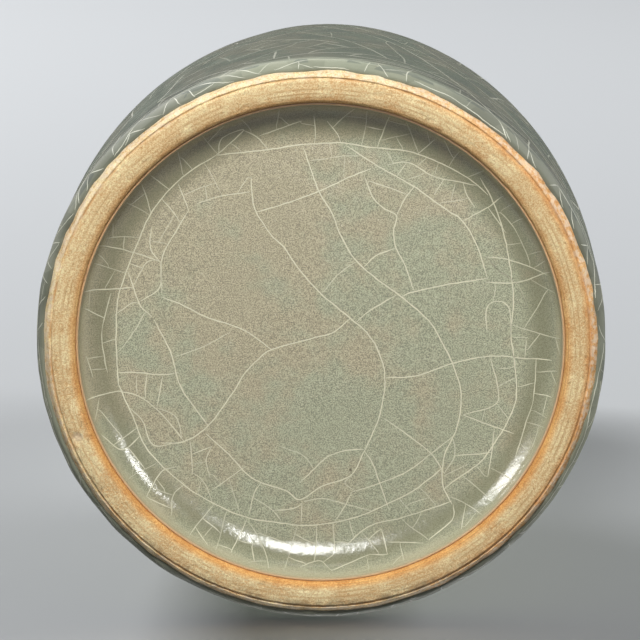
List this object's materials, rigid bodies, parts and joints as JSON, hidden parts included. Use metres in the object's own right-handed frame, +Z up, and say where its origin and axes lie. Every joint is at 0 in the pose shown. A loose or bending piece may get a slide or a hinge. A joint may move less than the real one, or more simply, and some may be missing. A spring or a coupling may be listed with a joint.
{
  "type": "vase",
  "caption": "Celadon vase of mallet form: straight-sided body, sloping shoulder, long neck and small dish mouth, with a bare clay foot ring and a crackled glaze.",
  "frame": {"origin": "centre of the foot ring's resting face", "axes": "+Z up the vase's own axis, from the foot to the mouth. The vase is round, so X and Y are alike; the picture's right is +X and its top is -Y"},
  "size_m": [0.1044, 0.1044, 0.1899],
  "materials": {
    "bare_clay": "matte, fired buff with an orange blush",
    "body_clay": "matte, fired",
    "outer_glaze": "gloss, crackled",
    "inner_glaze": "gloss, crackled",
    "base_glaze": "gloss, crackled"
  },
  "bodies": {
    "root": {"foot_ring": "bare_clay", "base_slab": "body_clay", "body_wall": "body_clay", "shoulder": "body_clay", "neck": "body_clay", "dish_mouth": "body_clay", "outer_glaze": "outer_glaze", "inner_glaze": "inner_glaze", "base_glaze": "base_glaze"}
  },
  "joints": []
}
